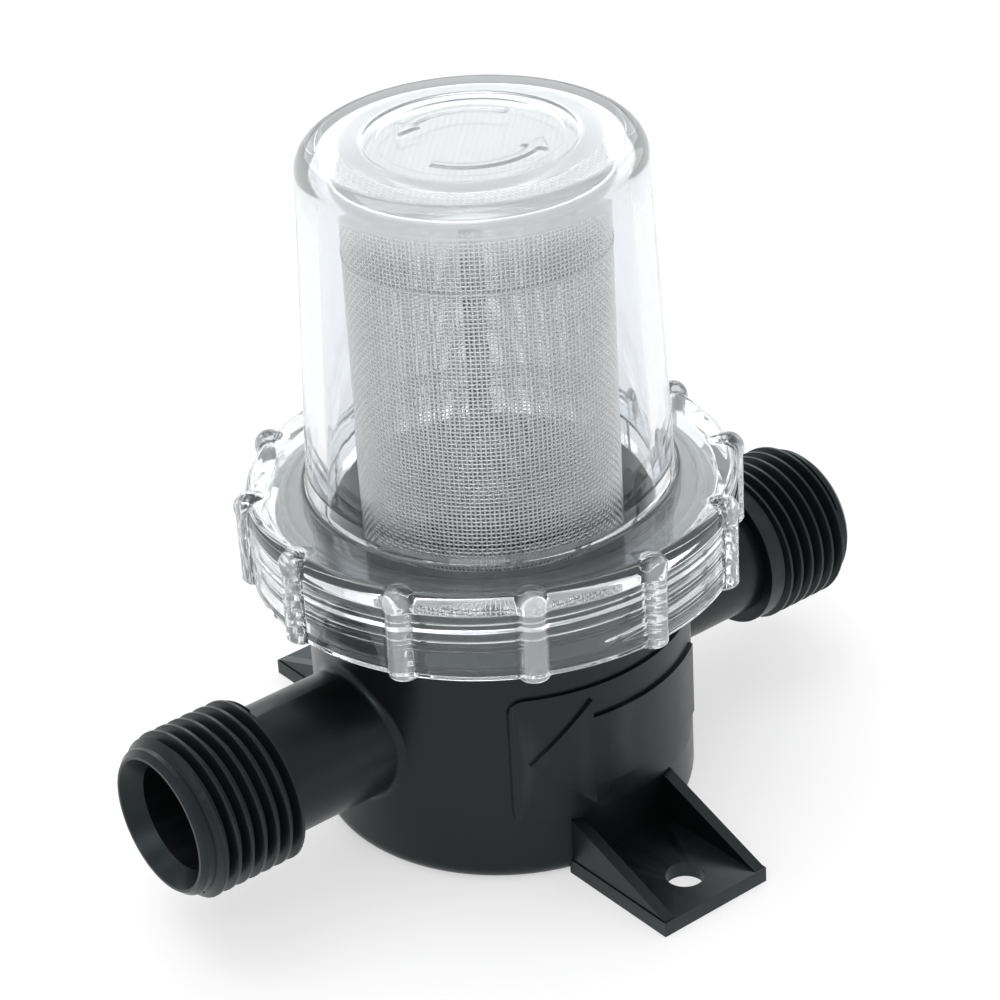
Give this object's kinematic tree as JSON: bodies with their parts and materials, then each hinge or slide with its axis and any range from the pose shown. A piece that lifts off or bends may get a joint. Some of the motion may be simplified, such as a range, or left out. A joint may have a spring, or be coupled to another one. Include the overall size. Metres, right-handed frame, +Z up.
{
  "type": "sea water strainer",
  "caption": "In-line sea water strainer: moulded pot with a threaded port on each side and fixing lugs, a clear screw-on bowl, its seal and a woven wire screen.",
  "frame": {"origin": "centre of the housing's base, on the plane it is screwed down to", "axes": "+Z up along the pot and bowl, +X towards the inlet port (the flow arrow points to -X), the fixing lugs along Y with the flow arrow on the -Y side"},
  "size_m": [0.1032, 0.0784, 0.0881],
  "materials": {
    "black_plastic": "satin moulded",
    "clear_plastic": "clear, polished mould",
    "seal_rubber": "matte",
    "woven_steel": "plain-weave wire cloth"
  },
  "bodies": {
    "housing": {"body": "black_plastic", "screen_cylinder": "woven_steel", "screen_end_cap": "woven_steel"},
    "seal": {"bowl_o_ring": "seal_rubber"},
    "bowl": {"clear_bowl": "clear_plastic"}
  },
  "joints": [
    {"name": "bowl_lift", "type": "slide", "parent": "housing", "child": "seal", "axis": [0, 0, 1], "range_m": [0, 0.0055]},
    {"name": "bowl_turn", "type": "hinge", "parent": "seal", "child": "bowl", "pos_m": [0, 0, 0.0411], "axis": [0, 0, 1], "range_deg": [0, 810]}
  ],
  "couplings": [
    {"joint": "bowl_lift", "follows": "bowl_turn", "m_per_rad": 0.00038197}
  ]
}
